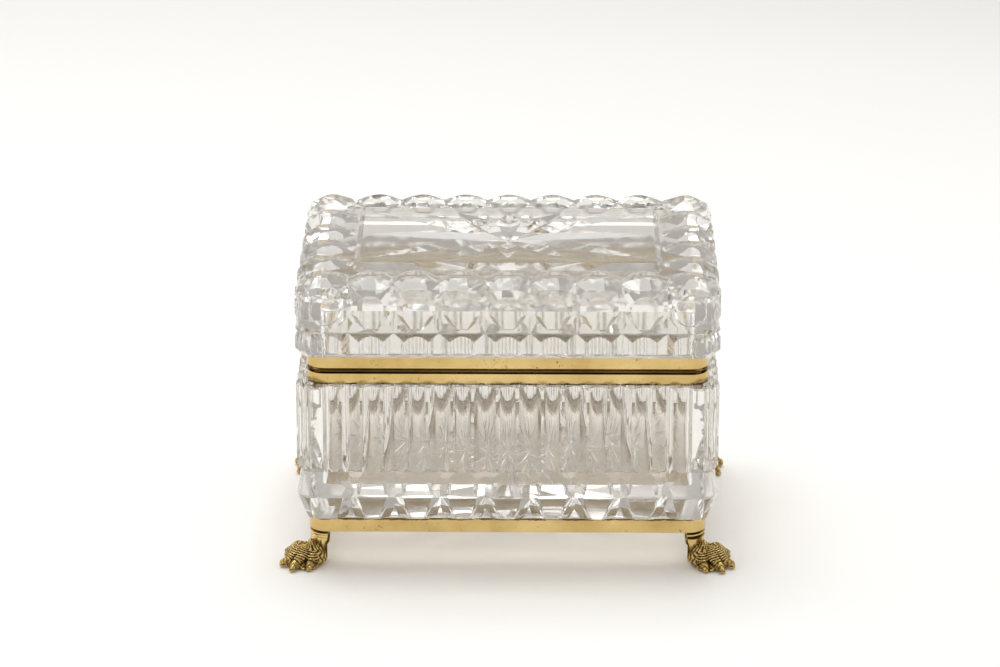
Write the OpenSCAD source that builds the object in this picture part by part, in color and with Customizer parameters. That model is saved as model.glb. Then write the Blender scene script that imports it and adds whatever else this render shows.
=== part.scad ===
// Cut glass casket box: a hinged cut glass lid on a cut glass box, both bound
// with gilt brass rims, standing on four cast lion-paw feet.
// Frame: millimetres, +Z up, front towards -Y, origin on the ground under the
// middle of the box.

/* [Glass] */
// Width of the cut glass, left to right
glass_w = 151; // [146:1:156]
// Depth of the cut glass, front to back
glass_d = 106; // [102:1:110]
// Thickness of the glass walls
wall_t = 9; // [8.5:0.5:10]
// Bosses along the front and the back, without the corner ones
bosses_x = 7; // [5:2:9]
// Bosses along each end, without the corner ones
bosses_y = 4; // [2:1:6]
// Share of the side left for each corner boss, in mm
corner_w = 19; // [18:0.5:20]
// Rounding of the glass box's upright corners
glass_r = 5; // [4:0.5:6]

/* [Heights] */
// Ground to the underside of the base frame
foot_h = 14; // [13:0.5:16]
// Height of the base frame's band
base_band_h = 4.9; // [4.5:0.1:5.5]
// Height of the boss row at the foot of the glass box
boss_row_h = 20.1; // [18:0.1:22]
// Height of the fluted wall
flute_h = 31.9; // [28:0.1:36]
// Height of the box's rim band
body_band_h = 4; // [3.8:0.1:4.4]
// Height of the lid's rim band
lid_band_h = 4.75; // [4.5:0.05:5.2]
// Height of the glass lid above its rim band
lid_glass_h = 28.7; // [27:0.1:31]
// Thickness of the glass box's floor above the base frame
floor_t = 12.1; // [10:0.1:14]
// Thickness of the lid's top
lid_top_t = 12.5; // [11:0.5:14]

/* [Rims] */
// How far the rim bands stand back from the glass face
band_inset = 3.9; // [3.6:0.1:4.2]
// Thickness of the brass bands
band_t = 1; // [0.9:0.1:1.2]
// Rounding of the bands' corners
band_r = 6.5; // [6:0.5:7.5]

/* [Table on the lid] */
// Margin from the glass face to the edge of the flat table
table_margin = 22.4; // [21:0.1:23]
// Drop of the bevel round the table
bevel_drop = 2; // [1.5:0.1:2.5]

/* [Hinge] */
// Length of the hinge over its knuckles
hinge_len = 72; // [60:2:84]
// Radius of the hinge knuckles
knuckle_r = 2; // [1.9:0.05:2.1]
// Radius of the hinge pin
pin_r = 0.9; // [0.8:0.05:1]
// Running clearance between the pin and the lid's knuckles
pin_gap = 0.04; // [0.02:0.01:0.08]

/* [Hidden] */

brass = [0.84, 0.71, 0.44];
dark_brass = [0.62, 0.48, 0.22];
glass_col = [0.85, 0.84, 0.82, 0.45];
plaster = [0.86, 0.83, 0.77];
e = 0.01;

// half sizes
hx = glass_w / 2;
hy = glass_d / 2;
pitch_x = (glass_w - 2 * corner_w) / bosses_x;
pitch_y = (glass_d - 2 * corner_w) / bosses_y;
// heights, from the ground up
z_base = foot_h + base_band_h;      // top of the base band
z_groove = z_base + boss_row_h;     // groove between boss row and flutes
z_ledge = z_groove + flute_h;       // ledge under the box's rim
z_body_top = z_ledge + body_band_h; // top of the box's rim
z_collar = z_body_top + 0.4;        // underside of the collar plate
collar_t = 0.6;
z_seat = z_collar + collar_t + 0.1; // where the lid's rim comes down
z_lid_rim = z_seat + 1.05;          // underside of the lid's band
z_lid = z_lid_rim + lid_band_h;     // underside of the glass lid
z_top = z_lid + lid_glass_h;        // table
z_floor = foot_h + 4.9 + floor_t;   // inside floor of the box
z_ceiling = z_top - lid_top_t;      // inside ceiling of the lid
// half sizes of the metal
bx = hx - band_inset;
by = hy - band_inset;
inx = hx - wall_t;                  // inside of the glass
iny = hy - wall_t;
ox = inx - 0.2;                     // opening through the rims
oy = iny - 0.2;
bed = 0.5;                          // thickness of the bedding
// hinge axis
hinge_y = by + 2.1;
hinge_z = z_seat;
leaf_t = 0.8;
knuckles = 5;
knuckle_l = hinge_len / knuckles;
rivet_x = [-27, -9, 9, 27];
rivet_r = 0.6;

// positions of the V cuts between bosses along a side
function cuts(n, pitch) = [for (i = [0:n]) (i - n / 2) * pitch];
function centres(n, pitch) = [for (i = [0:n - 1]) (i - (n - 1) / 2) * pitch];

// outline with rounded corners, a and b are half sizes
module rrect(a, b, r) {
    union() {
        square([2 * a - 2 * r, 2 * b], center = true);
        square([2 * a, 2 * b - 2 * r], center = true);
        for (sx = [-1, 1], sy = [-1, 1])
            translate([sx * (a - r), sy * (b - r)]) circle(r = r, $fn = 64);
    }
}
module slab(a, b, r, z0, z1) {
    translate([0, 0, z0]) linear_extrude(z1 - z0) rrect(a, b, r);
}
// ring of a rectangular section
module ring(a, b, r, a2, b2, r2, z0, z1) {
    difference() {
        slab(a, b, r, z0, z1);
        slab(a2, b2, r2, z0 - 1, z1 + 1);
    }
}
// outline with a V notch of the given depth at each boss boundary
module notched(a, b, r, depth, half) {
    difference() {
        rrect(a, b, r);
        for (x = cuts(bosses_x, pitch_x), s = [-1, 1])
            translate([x, s * b]) v_notch(depth, half, s);
        for (y = cuts(bosses_y, pitch_y), s = [-1, 1])
            translate([s * a, y]) rotate(-90) v_notch(depth, half, s);
    }
}
module v_notch(depth, half, s) {
    polygon([[-half, s * e], [half, s * e], [half, 0], [0, -s * depth], [-half, 0]]);
}
// outline with a hollow flute at each boss centre
module fluted(a, b, r, flute_r, depth) {
    difference() {
        rrect(a, b, r);
        for (x = centres(bosses_x, pitch_x), s = [-1, 1])
            translate([x, s * (b + flute_r - depth)]) circle(r = flute_r, $fn = 48);
        for (y = centres(bosses_y, pitch_y), s = [-1, 1])
            translate([s * (a + flute_r - depth), y]) circle(r = flute_r, $fn = 48);
        for (x = cuts(bosses_x, pitch_x), s = [-1, 1])
            translate([x, s * b]) v_notch(0.7, 0.9, s);
        for (y = cuts(bosses_y, pitch_y), s = [-1, 1])
            translate([s * a, y]) rotate(-90) v_notch(0.7, 0.9, s);
    }
}
// long square bars that cut a plane or a groove along all four sides;
// the bar's lower edge line passes at height z and half sizes a, b
module side_bars(a, b, z, tilt, size = 30) {
    for (s = [-1, 1]) {
        translate([0, s * b, z]) rotate([s * tilt, 0, 0])
            translate([-100, s > 0 ? 0 : -size, -size / 2]) cube([200, size, size]);
        translate([s * a, 0, z]) rotate([0, -s * tilt, 0])
            translate([s > 0 ? 0 : -size, -100, -size / 2]) cube([size, 200, size]);
    }
}
// V groove along all four sides at height z
module side_groove(a, b, z, depth) {
    w = depth * sqrt(2);
    for (s = [-1, 1]) {
        translate([-100, s * b, z]) rotate([45, 0, 0]) translate([0, -w / 2, -w / 2]) cube([200, w, w]);
        translate([s * a, -100, z]) rotate([0, 45, 0]) translate([-w / 2, 0, -w / 2]) cube([w, 200, w]);
    }
}

module body_glass() color(glass_col) {
    difference() {
        union() {
            // foot that sits in the base frame
            slab(bx - 1.6, by - 1.6, band_r - 1.6, foot_h + 1.2 + bed, z_base + e);
            // boss row
            difference() {
                translate([0, 0, z_base]) linear_extrude(boss_row_h + e) notched(hx, hy, glass_r, 1.5, 1.7);
                // the bosses run in towards the base frame
                side_bars(hx, hy, z_base + 10, -20.5, 40);
            }
            // fluted wall
            translate([0, 0, z_groove]) linear_extrude(flute_h) fluted(hx - 0.1, hy - 0.1, glass_r, 4.6, 1.5);
            // neck inside the rim
            slab(bx - band_t - bed, by - band_t - bed, band_r - band_t - bed, z_ledge - e, z_body_top - 0.72 - bed);
        }
        slab(inx, iny, 3, z_floor, z_body_top + 1);
        side_groove(hx, hy, z_groove, 1.1);
        // bevelled shoulder under the rim
        side_bars(hx, hy, z_ledge - 1, 45, 30);
    }
}
module lid_glass() color(glass_col) {
    difference() {
        union() {
            // neck inside the lid's rim
            slab(bx - band_t - bed, by - band_t - bed, band_r - band_t - bed, z_lid_rim + 0.8 + bed, z_lid + e);
            // scalloped skirt
            translate([0, 0, z_lid]) linear_extrude(10.5 + e) skirt(hx - 0.4, hy - 0.4, glass_r);
            // windows and top
            translate([0, 0, z_lid + 10.5]) linear_extrude(lid_glass_h - 10.5) notched(hx, hy, glass_r, 1.6, 2.2);
        }
        slab(inx, iny, 3, z_lid_rim, z_ceiling);
        side_groove(hx, hy, z_lid + 11.2, 1.3);
        // slope over the windows
        side_bars(hx - 4.5, hy - 4.5, z_top, 41, 30);
        // bevelled lower edge
        side_bars(hx - 2, hy - 2, z_lid, -50, 30);
        // cuts across the top between the bosses
        for (x = cuts(bosses_x, pitch_x), s = [-1, 1])
            translate([x, s * (hy - 20), z_top]) rotate([0, 45, 0])
                translate([-1.6, s > 0 ? 0 : -40, -1.6]) cube([3.2, 40, 3.2]);
        for (y = cuts(bosses_y, pitch_y), s = [-1, 1])
            translate([s * (hx - 20), y, z_top]) rotate([45, 0, 0])
                translate([s > 0 ? 0 : -40, -1.6, -1.6]) cube([40, 3.2, 3.2]);
        // groove round the table
        table_groove();
    }
}
// outline with two rounded scallops to a boss
module skirt(a, b, r) {
    difference() {
        rrect(a, b, r);
        for (x = centres(bosses_x, pitch_x), q = [-1, 1], s = [-1, 1])
            translate([x + q * pitch_x / 4, s * b]) v_notch(1.1, 1.3, s);
        for (y = centres(bosses_y, pitch_y), q = [-1, 1], s = [-1, 1])
            translate([s * a, y + q * pitch_y / 4]) rotate(-90) v_notch(1.1, 1.3, s);
    }
}
// four-sided V channel with its inner wall as the table's bevel
module table_groove() {
    ta = hx - table_margin;
    tb = hy - table_margin;
    d = bevel_drop;
    for (s = [-1, 1]) {
        translate([-ta - d, s * (tb + d), z_top - d]) rotate([45, 0, 0])
            cube([2 * (ta + d), 6, 6]);
        translate([s * (ta + d), -tb - d, z_top - d]) rotate([0, -45, 0])
            cube([6, 2 * (tb + d), 6]);
    }
}

module body_rim() color(brass) difference() {
    union() {
        ring(bx, by, band_r, bx - band_t, by - band_t, band_r - band_t, z_ledge, z_body_top);
        ring(bx, by, band_r, ox, oy, 2.5, z_body_top - 0.72, z_body_top);
    }
    rivet_holes(z_ledge + 1.6);
}
module rim_collar() color(brass) {
    ring(bx - 0.9, by - 0.9, band_r - 0.9, ox, oy, 2.5, z_collar, z_collar + collar_t);
    ring(bx - 2.2, by - 2.2, band_r - 2.2, ox, oy, 2.5, z_body_top, z_collar);
}
module lid_rim() color(brass) difference() {
    union() {
        ring(bx, by, band_r, bx - band_t, by - band_t, band_r - band_t, z_lid_rim, z_lid);
        ring(bx, by, band_r, ox, oy, 2.5, z_lid_rim, z_lid_rim + 0.8);
        ring(bx - 2, by - 2, band_r - 2, ox, oy, 2.5, z_seat, z_lid_rim);
    }
    rivet_holes(z_lid - 1.7);
}
module rivet_holes(z) {
    for (x = rivet_x) translate([x, by - band_t - 0.2, z]) rotate([-90, 0, 0])
        cylinder(r = rivet_r, h = band_t + leaf_t + 1, $fn = 32);
}
module body_bedding() color(plaster) {
    ring(bx - band_t, by - band_t, band_r - band_t, bx - band_t - bed, by - band_t - bed, band_r - band_t - bed, z_ledge, z_body_top - 0.72);
    ring(bx - band_t - bed, by - band_t - bed, band_r - band_t - bed, inx, iny, 3, z_body_top - 0.72 - bed, z_body_top - 0.72);
}
module lid_bedding() color(plaster) {
    ring(bx - band_t, by - band_t, band_r - band_t, bx - band_t - bed, by - band_t - bed, band_r - band_t - bed, z_lid_rim + 0.8, z_lid);
    ring(bx - band_t - bed, by - band_t - bed, band_r - band_t - bed, inx, iny, 3, z_lid_rim + 0.8, z_lid_rim + 0.8 + bed);
}
// band with an inner ledge that carries the glass
module base_frame() color(brass) difference() {
    union() {
        ring(bx, by, band_r, bx - 1.2, by - 1.2, band_r - 1.2, foot_h, z_base);
        ring(bx, by, band_r, bx - 8, by - 8, 2.5, foot_h, foot_h + 1.2);
    }
    for (p = foot_pos()) translate([p[0], p[1], foot_h - 1])
        cylinder(r = 1, h = 4, $fn = 32);
}
module base_bedding() color(plaster) {
    ring(bx - 1.2, by - 1.2, band_r - 1.2, bx - 1.6, by - 1.6, band_r - 1.6, foot_h + 1.2, z_base);
    ring(bx - 1.6, by - 1.6, band_r - 1.6, bx - 8, by - 8, 2.5, foot_h + 1.2, foot_h + 1.2 + bed);
}
// the fixing screw of each foot
function foot_pos() = [for (sx = [-1, 1], sy = [-1, 1]) [sx * (bx - 6.4), sy * (by - 6.4)]];
// three-cornered plates soldered on the frame's ledge under the screws
module corner_gussets() color(brass)
    for (sx = [-1, 1], sy = [-1, 1]) mirror([sx < 0 ? 1 : 0, 0, 0]) mirror([0, sy < 0 ? 1 : 0, 0])
        difference() {
            translate([0, 0, foot_h - 1]) linear_extrude(1)
                polygon([[bx - 2.2, by - 2.2], [bx - 16, by - 2.2], [bx - 2.2, by - 16]]);
            translate([bx - 6.4, by - 6.4, foot_h - 2]) cylinder(r = 1, h = 4, $fn = 32);
            // room for the foot's post
            translate([bx - 7.4, by - 7.4, foot_h - 2]) cube([9, 9, 4]);
        }
// one foot, modelled at the +X +Y corner: post, pad and toes, sole flat on z = 0
module foot() {
    difference() {
        union() {
            // post under the frame's corner, rounded as the frame is
            intersection() {
                slab(bx - 0.1, by - 0.1, band_r - 0.1, 5, foot_h);
                translate([bx - 7.2, by - 7.2, 0]) cube([8, 8, 20]);
            }
            // pad
            intersection() {
                union() {
                    translate([bx + 1, by - 2.6, 0]) cylinder(r = 6.4, h = 3, $fn = 64);
                    translate([bx + 0.6, by - 3, 2.8]) sphere(r = 6.9, $fn = 48);
                    translate([bx - 2.2, by - 6, 0]) cylinder(r = 5.2, h = 6, $fn = 64);
                    // toes
                    for (a = [-42, -14, 14, 42])
                        translate([bx + 0.4 + 7.6 * cos(45 + a), by - 3.2 + 7.6 * sin(45 + a), 2.2]) sphere(r = 3.4, $fn = 40);
                }
                translate([bx - 20, by - 20, 0]) cube([40, 40, 20]);
            }
        }
        // blind hole for the screw
        translate([bx - 6.4, by - 6.4, foot_h - 5]) cylinder(r = 1, h = 6, $fn = 32);
    }
}
module foot_at(sx, sy) color(dark_brass) mirror([sx < 0 ? 1 : 0, 0, 0]) mirror([0, sy < 0 ? 1 : 0, 0]) foot();
module foot_front_left() foot_at(-1, -1);
module foot_front_right() foot_at(1, -1);
module foot_rear_left() foot_at(-1, 1);
module foot_rear_right() foot_at(1, 1);
// screws from the frame's ledge down into the feet
module foot_screws() color(brass)
    for (p = foot_pos()) translate([p[0], p[1], foot_h - 5]) cylinder(r = 1, h = 6.2, $fn = 32);

// X range of knuckle i
function kx(i) = -hinge_len / 2 + i * knuckle_l;
module leaf(z0, z1) translate([-hinge_len / 2, by, z0]) cube([hinge_len, leaf_t, z1 - z0]);
module hinge_leaf_body() color(brass) difference() {
    union() {
        leaf(z_ledge + 0.2, hinge_z - 2.1);
        for (i = [0, 2, 4]) {
            translate([kx(i) + 0.08, hinge_y, hinge_z]) rotate([0, 90, 0]) cylinder(r = knuckle_r, h = knuckle_l - 0.16, $fn = 48);
            translate([kx(i) + 0.08, by, hinge_z - 2.6]) cube([knuckle_l - 0.16, leaf_t, 2.3]);
        }
        // stop tabs behind the knuckles
        for (i = [1, 3]) translate([kx(i) + knuckle_l / 2 - 3, 0, 0]) {
            translate([0, by, hinge_z - 3.2]) cube([6, hinge_y - by + 3.2, 0.8]);
            translate([0, hinge_y + 2.35, hinge_z - 3.2]) cube([6, 0.85, 4.0]);
        }
    }
    translate([-50, hinge_y, hinge_z]) rotate([0, 90, 0]) cylinder(r = pin_r, h = 100, $fn = 48);
    rivet_holes(z_ledge + 1.6);
    // room for the lid's knuckles
    for (i = [1, 3]) translate([kx(i) - 0.08, hinge_y, hinge_z]) rotate([0, 90, 0]) cylinder(r = knuckle_r + 0.15, h = knuckle_l + 0.16, $fn = 48);
}
module hinge_leaf_lid() color(brass) difference() {
    union() {
        leaf(hinge_z + 2.2, z_lid - 0.2);
        for (i = [1, 3]) {
            translate([kx(i) + 0.08, hinge_y, hinge_z]) rotate([0, 90, 0]) cylinder(r = knuckle_r, h = knuckle_l - 0.16, $fn = 48);
            translate([kx(i) + 0.08, by + 0.05, hinge_z + 0.3]) cube([knuckle_l - 0.16, leaf_t - 0.05, 2.4]);
        }
    }
    translate([-50, hinge_y, hinge_z]) rotate([0, 90, 0]) cylinder(r = pin_r + pin_gap, h = 100, $fn = 48);
    rivet_holes(z_lid - 1.7);
    for (i = [0, 2, 4]) translate([kx(i) - 0.08, hinge_y, hinge_z]) rotate([0, 90, 0]) cylinder(r = knuckle_r + 0.15, h = knuckle_l + 0.16, $fn = 48);
}
module hinge_pin() color([0.7, 0.68, 0.62])
    translate([0, hinge_y, hinge_z]) rotate([0, 90, 0]) {
        cylinder(r = pin_r, h = hinge_len, center = true, $fn = 48);
        for (s = [-1, 1]) translate([0, 0, s * (hinge_len / 2 + 0.25)]) cylinder(r = 1.3, h = 0.5, center = true, $fn = 48);
    }
module rivets(z) color(brass)
    for (x = rivet_x) translate([x, by - band_t, z]) rotate([-90, 0, 0]) {
        cylinder(r = rivet_r, h = band_t + leaf_t + 0.2, $fn = 32);
        translate([0, 0, band_t + leaf_t]) cylinder(r = 1.1, h = 0.4, $fn = 32);
    }
module body_hinge_rivets() rivets(z_ledge + 1.6);
module lid_hinge_rivets() rivets(z_lid - 1.7);

body_glass();
lid_glass();
body_rim();
rim_collar();
lid_rim();
body_bedding();
lid_bedding();
base_frame();
base_bedding();
foot_front_left();
foot_front_right();
foot_rear_left();
foot_rear_right();
foot_screws();
hinge_leaf_body();
hinge_leaf_lid();
hinge_pin();
body_hinge_rivets();
lid_hinge_rivets();
corner_gussets();
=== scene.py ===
import bpy, bmesh, itertools, math, random
import numpy as np
from mathutils import Matrix, Vector


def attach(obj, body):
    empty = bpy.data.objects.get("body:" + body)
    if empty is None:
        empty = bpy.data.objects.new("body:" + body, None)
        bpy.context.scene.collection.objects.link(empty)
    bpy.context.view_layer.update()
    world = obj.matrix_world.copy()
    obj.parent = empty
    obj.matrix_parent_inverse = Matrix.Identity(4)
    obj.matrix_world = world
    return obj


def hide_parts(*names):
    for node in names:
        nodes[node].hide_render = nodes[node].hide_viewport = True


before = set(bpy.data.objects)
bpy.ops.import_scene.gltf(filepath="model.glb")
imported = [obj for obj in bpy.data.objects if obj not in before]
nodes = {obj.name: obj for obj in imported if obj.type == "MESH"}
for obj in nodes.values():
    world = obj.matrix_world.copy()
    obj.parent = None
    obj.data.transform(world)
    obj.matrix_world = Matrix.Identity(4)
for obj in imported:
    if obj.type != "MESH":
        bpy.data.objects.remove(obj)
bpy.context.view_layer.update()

MM = 0.001
scene = bpy.context.scene

# ------------------------------------------------------------------ camera
cam_data = bpy.data.cameras.new("camera")
cam_data.sensor_width = 36.0
cam_data.lens = 144.0
cam_data.clip_start = 0.05
cam_data.clip_end = 50.0
cam = bpy.data.objects.new("camera", cam_data)
scene.collection.objects.link(cam)
scene.camera = cam
pitch, yaw, roll = math.radians(20.25), -0.007988, 0.0007786
fwd = Vector((math.sin(yaw) * math.cos(pitch), math.cos(yaw) * math.cos(pitch), -math.sin(pitch)))
right = Vector((math.cos(yaw), -math.sin(yaw), 0.0))
up = right.cross(fwd)
r2 = right * math.cos(roll) + up * math.sin(roll)
u2 = up * math.cos(roll) - right * math.sin(roll)
rot = Matrix((r2, u2, -fwd)).transposed().to_4x4()
cam.matrix_world = Matrix.Translation(Vector((7.90, -1378.06, 580.66)) * MM) @ rot

# ------------------------------------------------------------------ shape tools (all in millimetres until the mesh is made)
HX, HY = 75.5, 53.0            # glass, half width and half depth
PX = (2 * HX - 38.0) / 7       # pitch of the bosses along the long sides
PY = (2 * HY - 38.0) / 4       # and along the short ones
Z_BASE, Z_GROOVE, Z_LEDGE, Z_BODY = 18.92, 39.0, 70.7, 74.88
Z_LID, Z_TOP = 81.82, 110.5


def new_object(name, bm, mats=(), smooth_angle=None):
    bmesh.ops.recalc_face_normals(bm, faces=bm.faces)
    me = bpy.data.meshes.new(name)
    bm.to_mesh(me)
    bm.free()
    for m in mats:
        me.materials.append(m)
    ob = bpy.data.objects.new(name, me)
    scene.collection.objects.link(ob)
    if smooth_angle is not None:
        me.shade_smooth()
        me.set_sharp_from_angle(angle=math.radians(smooth_angle))
    return ob


def solid(lo, hi, planes, arris=0.0):
    """A convex solid: the box lo..hi cut by planes (point, outward normal)."""
    rows = [((hi[i] if s > 0 else lo[i]) * s, [s if i == j else 0.0 for j in range(3)]) for i in range(3) for s in (-1, 1)]
    for co, no in planes:
        no = Vector(no).normalized()
        rows.append((Vector(co).dot(no), list(no)))
    dist = np.array([r[0] for r in rows])
    norm = np.array([r[1] for r in rows])
    three = np.array(list(itertools.combinations(range(len(rows)), 3)))
    sets = norm[three]
    det = np.linalg.det(sets)
    keep = np.abs(det) > 1e-4
    pts = np.linalg.solve(sets[keep], dist[three[keep]][:, :, None])[:, :, 0]
    pts = pts[((norm @ pts.T) <= dist[:, None] + 1e-6).all(0)]
    used = []
    for p in pts[np.lexsort(pts.T)]:
        if not any(abs(p[0] - q[0]) + abs(p[1] - q[1]) + abs(p[2] - q[2]) < 4e-3 for q in used):
            used.append(p)
    bm = bmesh.new()
    for p in used:
        bm.verts.new(p)
    bmesh.ops.convex_hull(bm, input=bm.verts[:], use_existing_faces=False)
    loose = [v for v in bm.verts if not v.link_faces]
    bmesh.ops.delete(bm, geom=loose, context="VERTS")
    if arris:
        # dissolve the hull's triangles into facets, then polish the edges between them
        bmesh.ops.dissolve_limit(bm, angle_limit=0.003, verts=bm.verts[:], edges=bm.edges[:])
        sharp = [e for e in bm.edges if len(e.link_faces) == 2 and e.calc_face_angle() > 0.14]
        bmesh.ops.bevel(bm, geom=sharp, offset=arris, offset_type="WIDTH", segments=1, profile=0.5, affect="EDGES", clamp_overlap=True)
    return bm


def prism(outline, z0, z1):
    """A straight prism on a plan outline, a list of (x, y)."""
    bm = bmesh.new()
    low = [bm.verts.new((x, y, z0)) for x, y in outline]
    high = [bm.verts.new((x, y, z1)) for x, y in outline]
    n = len(outline)
    bm.faces.new(list(reversed(low)))
    bm.faces.new(high)
    for i in range(n):
        j = (i + 1) % n
        bm.faces.new((low[i], low[j], high[j], high[i]))
    return bm


def rounded(hx, hy, r, steps=8):
    """The outline of a rectangle with rounded corners, counterclockwise."""
    out = []
    for cx, cy, a0 in ((hx - r, hy - r, 0), (-hx + r, hy - r, 90), (-hx + r, -hy + r, 180), (hx - r, -hy + r, 270)):
        for k in range(steps + 1):
            a = math.radians(a0 + 90.0 * k / steps)
            out.append((cx + r * math.cos(a), cy + r * math.sin(a)))
    return out


def mesh_of(bm, name="part"):
    bm.normal_update()
    bmesh.ops.recalc_face_normals(bm, faces=bm.faces)
    if bm.calc_volume(signed=True) < 0:
        bmesh.ops.reverse_faces(bm, faces=bm.faces)
    me = bpy.data.meshes.new(name)
    bm.to_mesh(me)
    bm.free()
    return me


def combine(base, others, operation):
    """base (a mesh) with each mesh of others joined to it or cut from it; every mesh is a closed solid."""
    ob = bpy.data.objects.new("work", base)
    scene.collection.objects.link(ob)
    tools = []
    for me in others:
        t = bpy.data.objects.new("tool", me)
        scene.collection.objects.link(t)
        tools.append(t)
        mod = ob.modifiers.new("b", "BOOLEAN")
        mod.operation = operation
        mod.solver = "MANIFOLD"
        mod.object = t
    dg = bpy.context.evaluated_depsgraph_get()
    made = bpy.data.meshes.new_from_object(ob.evaluated_get(dg))
    if len(made.polygons) < 40:
        raise ValueError("a boolean failed")
    for o in [ob] + tools:
        me = o.data
        bpy.data.objects.remove(o)
        bpy.data.meshes.remove(me)
    return made


def put(bm, face, at):
    """Moves a solid made in boss coordinates (u along the face, n outwards, z up) onto a face of the box, at place at along it."""
    for v in bm.verts:
        u, n, z = v.co
        if face == "front":
            v.co = Vector((at + u, -HY - n, z))
        elif face == "rear":
            v.co = Vector((at - u, HY + n, z))
        elif face == "right":
            v.co = Vector((HX + n, at + u, z))
        else:
            v.co = Vector((-HX - n, at - u, z))
    return bm


# ------------------------------------------------------------------ the lid
def tilt(rng, no, amount):
    return Vector(no).normalized() + Vector([rng.uniform(-amount, amount) for _ in range(3)])


def bezel(angle, support, growth, zc=99.5):
    """A plane that frames the window: in direction angle from straight up, support from the window's centre, widening as it goes in."""
    a = math.radians(angle)
    d = (math.sin(a), math.cos(a))
    return ((d[0] * support, 0.0, zc + d[1] * support), (d[0], growth, d[1]))


def lid_boss(rng, hw):
    s = hw / 8.07
    planes = [((0, 0.0, 99.5), tilt(rng, (0, 1, 0), 0.006))]
    planes.append(((0, -9.3, Z_TOP), (0, 0, 1)))
    planes.append(((0, -6.2, Z_TOP), tilt(rng, (0, 3.0, 5.3), 0.012)))
    planes.append(((0, -12.5, Z_TOP), tilt(rng, (0, -2.2, 7.9), 0.010)))
    # a narrow cone round the flat on top
    for k in range(14):
        a = math.tau * (k + 0.5) / 14
        planes.append(((3.0 * math.sin(a), -9.34 + 3.0 * math.cos(a), Z_TOP), (0.30 * math.sin(a), 0.30 * math.cos(a), 1.0)))
    for sgn in (-1, 1):
        planes.append(((3.3 * sgn * s, -9.3, Z_TOP), tilt(rng, (2.2 * sgn, 0, 4.77), 0.010)))
        planes.append(((1.6 * sgn * s, -6.2, Z_TOP), tilt(rng, (0.33 * sgn, 0.54, 1.0), 0.014)))
        planes.append(((2.3 * sgn * s, -11.6, Z_TOP), tilt(rng, (0.36 * sgn, -0.25, 1.0), 0.014)))
        # the shell-like cut that this boss shares with its neighbour
        planes.append(((8.07 * sgn * s, -5.3, 107.6), tilt(rng, (19.3 * sgn, 20.6, 20.6), 0.012)))
        planes.append(((8.07 * sgn * s, -3.0, 105.4), tilt(rng, (23.0 * sgn, 17.0, 16.0), 0.012)))
    for ang, sup, gr in ((0, 5.9, 2.1), (38, 5.75, 1.7), (66, 5.25, 1.5), (90, 4.62, 1.75), (121.5, 4.8, 1.25), (180, 6.1, 0.9)):
        for sgn in ((1,) if ang in (0, 180) else (-1, 1)):
            sup2 = sup + rng.uniform(-0.06, 0.06)
            if ang == 90:
                sup2 *= s
            co, no = bezel(ang * sgn, sup2, gr)
            planes.append((co, tilt(rng, no, 0.008)))
    return solid((-9.0 * s, -21.5, 91.2), (9.0 * s, 0.6, 111.5), planes, 0.16)


def lid_corner(rng, sx, sy):
    """The boss on a corner: a rounded upright edge, a flat on top and sloping shoulders."""
    cx, cy = HX - 9.65, HY - 9.5   # the middle of its top flat, from the box's centre
    r, inset = 5.6, 0.55
    planes = []
    for k in range(0, 10):
        a = math.radians(90.0 * k / 9)
        d = (math.cos(a), math.sin(a))
        px, py = HX - r + (r - inset) * d[0], HY - r + (r - inset) * d[1]
        planes.append(((px, py, 99.0), (d[0], d[1], 0.0)))
        planes.append(((px, py, 105.6), (d[0] * 1.9, d[1] * 1.9, 1.0)))
        planes.append(((px, py, 93.0), (d[0] * 1.0, d[1] * 1.0, -1.0)))
    planes.append(((cx, cy, Z_TOP), (0, 0, 1)))
    for k in range(16):
        a = math.tau * (k + 0.5) / 16
        planes.append(((cx + 3.0 * math.sin(a), cy + 3.0 * math.cos(a), Z_TOP), (0.30 * math.sin(a), 0.30 * math.cos(a), 1.0)))
    for ang, reach, fall in ((0, 3.2, 0.56), (90, 3.2, 0.56), (45, 3.4, 0.60), (22, 3.25, 0.58), (68, 3.25, 0.58),
                             (180, 3.1, 0.42), (270, 3.1, 0.42), (225, 3.3, 0.33), (135, 3.2, 0.46), (315, 3.2, 0.46)):
        a = math.radians(ang)
        d = (math.cos(a), math.sin(a))
        planes.append(((cx + d[0] * reach, cy + d[1] * reach, Z_TOP), tilt(rng, (d[0] * fall, d[1] * fall, 1.0), 0.010)))
    # the shell cuts and mitres towards the neighbouring bosses
    for co, no in (((-9.4, -5.3, 107.6), (-19.3, 20.6, 20.6)), ((-9.4, -3.0, 105.4), (-23.0, 17.0, 16.0)),
                   ((-7.0, 0.0, 99.5), (-1.0, 1.75, 0.0)), ((-6.2, 0.0, 96.0), (-0.852, 1.25, -0.523))):
        for axis in (0, 1):
            n = tilt(rng, no, 0.01)
            wc = (HX if axis == 0 else HY) - 9.65
            if axis == 0:
                planes.append(((wc + co[0], HY + co[1], co[2]), (n[0], n[1], n[2])))
            else:
                planes.append(((HX + co[1], wc + co[0], co[2]), (n[1], n[0], n[2])))
    bm = solid((HX - 20.5, HY - 20.5, 91.2), (HX + 0.6, HY + 0.6, 111.5), planes, 0.14)
    for v in bm.verts:
        v.co.x *= sx
        v.co.y *= sy
    return bm


def lid_tent(rng):
    """The two-sided tent between two windows, under the shell-like cut."""
    planes = []
    for sgn in (-1, 1):
        planes.append(((0, -0.1, 91.9), tilt(rng, (0.26 * sgn, 0.9, 0.17), 0.015)))
        planes.append(((3.6 * sgn, -1.2, 92.5), tilt(rng, (0.9 * sgn, 0.7, 0.1), 0.01)))
    planes.append(((0, -0.1, 91.9), (0, 0.7, -0.9)))
    return solid((-4.6, -4.0, 91.15), (4.6, 0.5, 98.4), planes, 0.1)


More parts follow.
